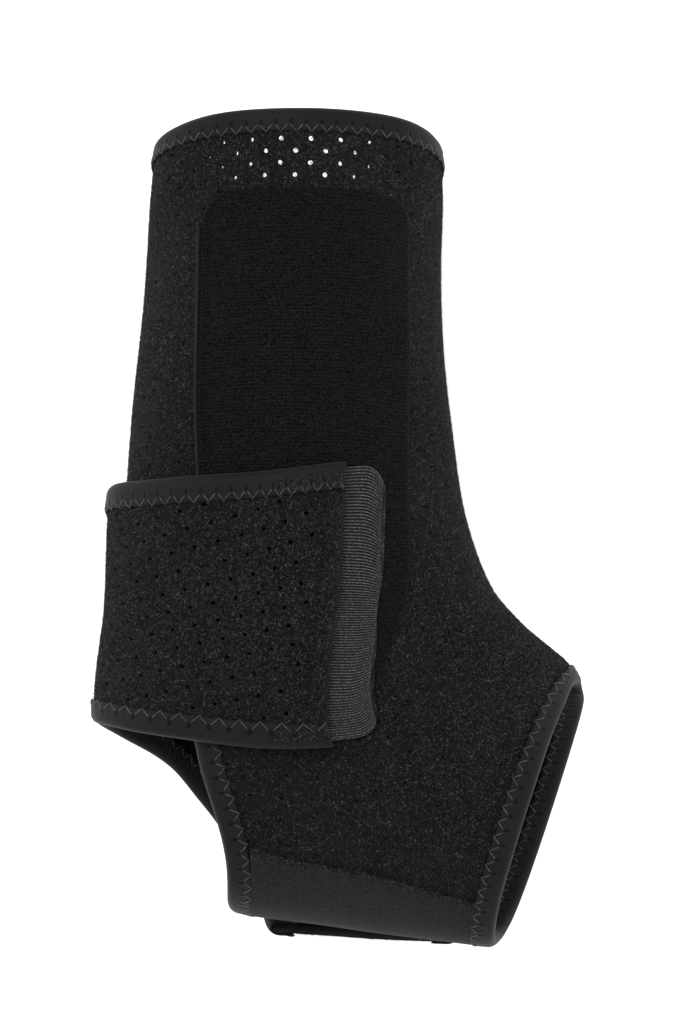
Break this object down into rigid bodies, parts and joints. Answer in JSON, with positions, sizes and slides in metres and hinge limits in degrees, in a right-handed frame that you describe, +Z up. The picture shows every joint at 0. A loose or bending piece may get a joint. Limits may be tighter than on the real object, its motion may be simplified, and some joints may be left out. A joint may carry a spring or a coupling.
{
  "type": "ankle brace",
  "caption": "Soft ankle brace: perforated foam fabric sleeve open at calf, heel and toes, with bound edges, a knitted front panel and a wrap strap that closes with a hook tab.",
  "frame": {"origin": "centre of the footprint, on the floor that the brace lies on", "axes": "+Z up out of the near wall, +Y up the leg to the calf rim, +X to the toes"},
  "size_m": [0.1494, 0.249, 0.0602],
  "materials": {
    "pile": "black brushed pile on perforated foam fabric",
    "tape": "black smooth stretch binding tape",
    "knit": "black fine ribbed knit",
    "smooth": "dark brownish grey smooth knit",
    "hook": "grey ribbed woven hook tape"
  },
  "bodies": {
    "root": {"sleeve": "pile", "calf_binding": "tape", "toe_binding": "tape", "heel_binding": "tape", "knit_panel": "knit", "panel_piping": "tape", "sole_panel": "smooth", "wrap_strap": "pile", "strap_lower_binding": "tape", "strap_upper_binding": "tape", "strap_end_binding": "tape", "hook_tab": "hook"}
  },
  "joints": []
}
